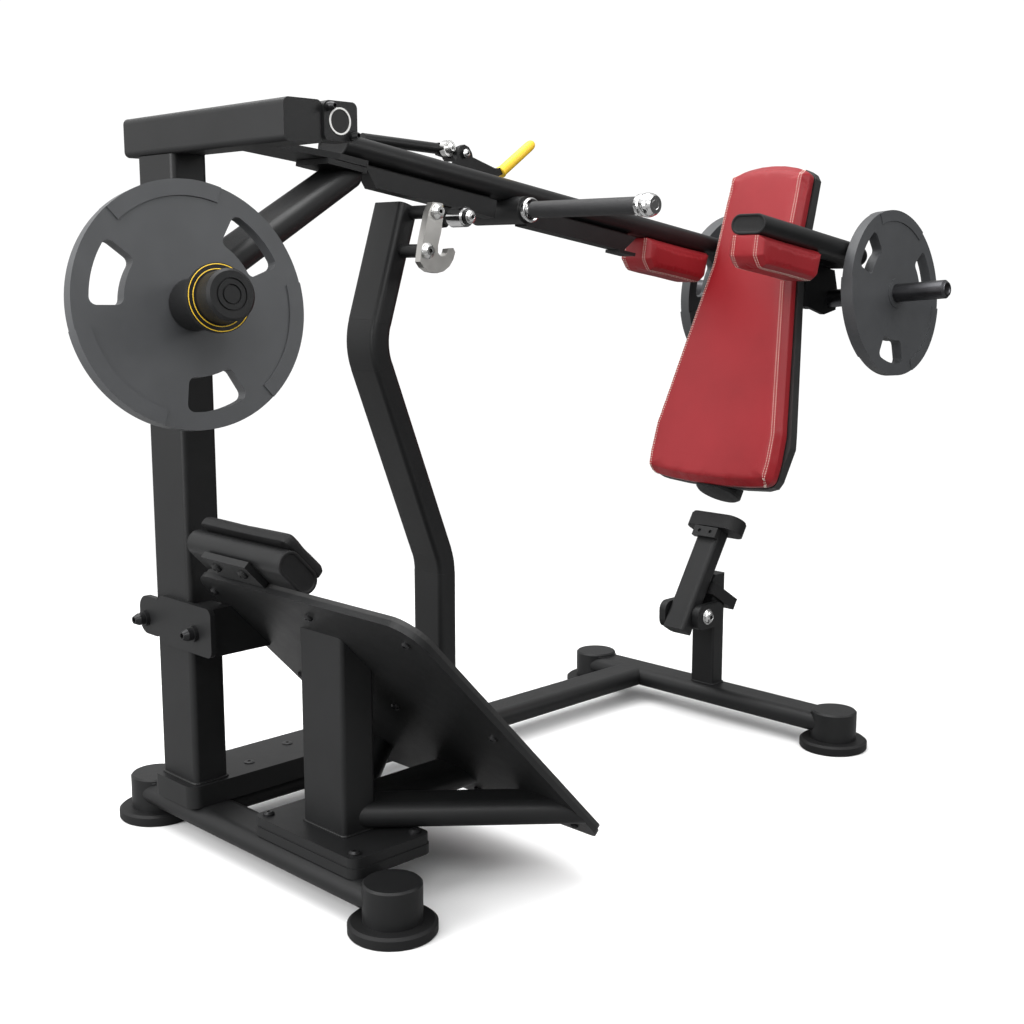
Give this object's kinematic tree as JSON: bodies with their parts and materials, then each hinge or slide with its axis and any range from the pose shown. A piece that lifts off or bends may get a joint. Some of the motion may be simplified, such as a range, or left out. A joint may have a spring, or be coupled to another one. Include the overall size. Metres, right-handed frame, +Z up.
{
  "type": "pendulum squat machine",
  "caption": "Plate-loaded pendulum squat machine: a counterweighted swing arm with padded backrest and shoulder pads over a sloped footplate on a black tube frame.",
  "frame": {"origin": "centre of the footprint box on the floor", "axes": "+X from the footplate end towards the weight plates, +Y towards the side with the upright, +Z up"},
  "size_m": [2.5698, 1.0459, 1.547],
  "materials": {
    "powder_coat": "fine textured matte powder coat",
    "rubber_black": "matte",
    "foot_rubber": "studded matte",
    "grip_rubber": "knurled matte",
    "zinc_bolt": "zinc plated",
    "black_bolt": "black oxide",
    "nickel_plate": "satin nickel",
    "horn_steel": "turned, dark",
    "chrome_steel": "satin chrome",
    "white_ring": "satin",
    "plate_iron": "fine hammered grey enamel",
    "red_vinyl": "grained vinyl with double stitching",
    "board_black": "moulded",
    "yellow_grip": "soft touch"
  },
  "bodies": {
    "frame": {"front_crossbar": "powder_coat", "rear_crossbar": "powder_coat", "floor_beam": "powder_coat", "foot_cans": "powder_coat", "foot_pads": "rubber_black", "base_beam": "powder_coat", "frame_bolts": "black_bolt", "upright": "powder_coat", "box_beam": "powder_coat", "bearing_housings": "powder_coat", "bearing_ring": "white_ring", "bearing_bolts": "black_bolt", "curved_post": "powder_coat", "hook_plate": "nickel_plate", "hook_standoffs": "powder_coat", "hook_bolts": "zinc_bolt", "column": "powder_coat", "flange_plates": "powder_coat", "footplate_struts": "powder_coat", "tie_beam": "powder_coat", "clamp_plates": "powder_coat", "clamp_bolts": "black_bolt", "footplate_steel": "powder_coat", "footplate_rubber": "foot_rubber", "calf_tube": "powder_coat", "calf_pad": "rubber_black", "stop_post": "powder_coat", "stop_ears": "powder_coat", "stop_rest_block": "rubber_black", "stop_pivot_bolt": "zinc_bolt"},
    "arm": {"pivot_shaft": "powder_coat", "arm_plates": "powder_coat", "arm_plate_bolts": "black_bolt", "main_arm_tube": "powder_coat", "under_channel": "powder_coat", "counterweight_arm": "powder_coat", "counterweight_spindle": "powder_coat", "counterweight_collar": "powder_coat", "counterweight_disc": "plate_iron", "yoke": "powder_coat", "horn_bars": "horn_steel", "horn_hangers": "powder_coat", "pad_spine": "powder_coat", "back_board": "board_black", "back_pad": "red_vinyl", "shoulder_pads": "red_vinyl", "pad_bumper": "rubber_black", "handle_housing": "powder_coat", "catch_bracket": "powder_coat"},
    "stop": {"stop_tube": "powder_coat", "stop_clamp_block": "powder_coat", "stop_bumper": "rubber_black"},
    "handle": {"handle_bar": "chrome_steel", "handle_grip": "grip_rubber"},
    "catch_roller": {"catch_roller": "chrome_steel"},
    "lever": {"release_lever": "powder_coat", "lever_eye": "zinc_bolt", "lever_grip": "yellow_grip"},
    "near_plate": {"near_plate": "plate_iron"},
    "far_plate": {"far_plate": "plate_iron"}
  },
  "joints": [
    {"name": "arm_swing", "type": "hinge", "parent": "frame", "child": "arm", "pos_m": [-0.79379, 0.02246, 1.494], "axis": [0, -1, 0], "range_deg": [0, 24]},
    {"name": "stop_tilt", "type": "hinge", "parent": "frame", "child": "stop", "pos_m": [0.54621, 0.02246, 0.298], "axis": [0, -1, 0], "range_deg": [0, 75]},
    {"name": "handle_spin", "type": "hinge", "parent": "arm", "child": "handle", "pos_m": [0.00921, 0.02246, 1.366], "axis": [0, 1, 0], "continuous": true},
    {"name": "roller_spin", "type": "hinge", "parent": "arm", "child": "catch_roller", "pos_m": [-0.21979, 0.11746, 1.343], "axis": [0, 1, 0], "continuous": true},
    {"name": "lever_tilt", "type": "hinge", "parent": "arm", "child": "lever", "pos_m": [-0.10579, 0.26446, 1.497], "axis": [0, -1, 0], "range_deg": [-6, 0]},
    {"name": "near_plate_slide", "type": "slide", "parent": "arm", "child": "near_plate", "axis": [0, -0.9965, 0.0837], "range_m": [0, 0.14]},
    {"name": "far_plate_slide", "type": "slide", "parent": "arm", "child": "far_plate", "axis": [0, 0.9965, 0.0837], "range_m": [0, 0.14]}
  ]
}
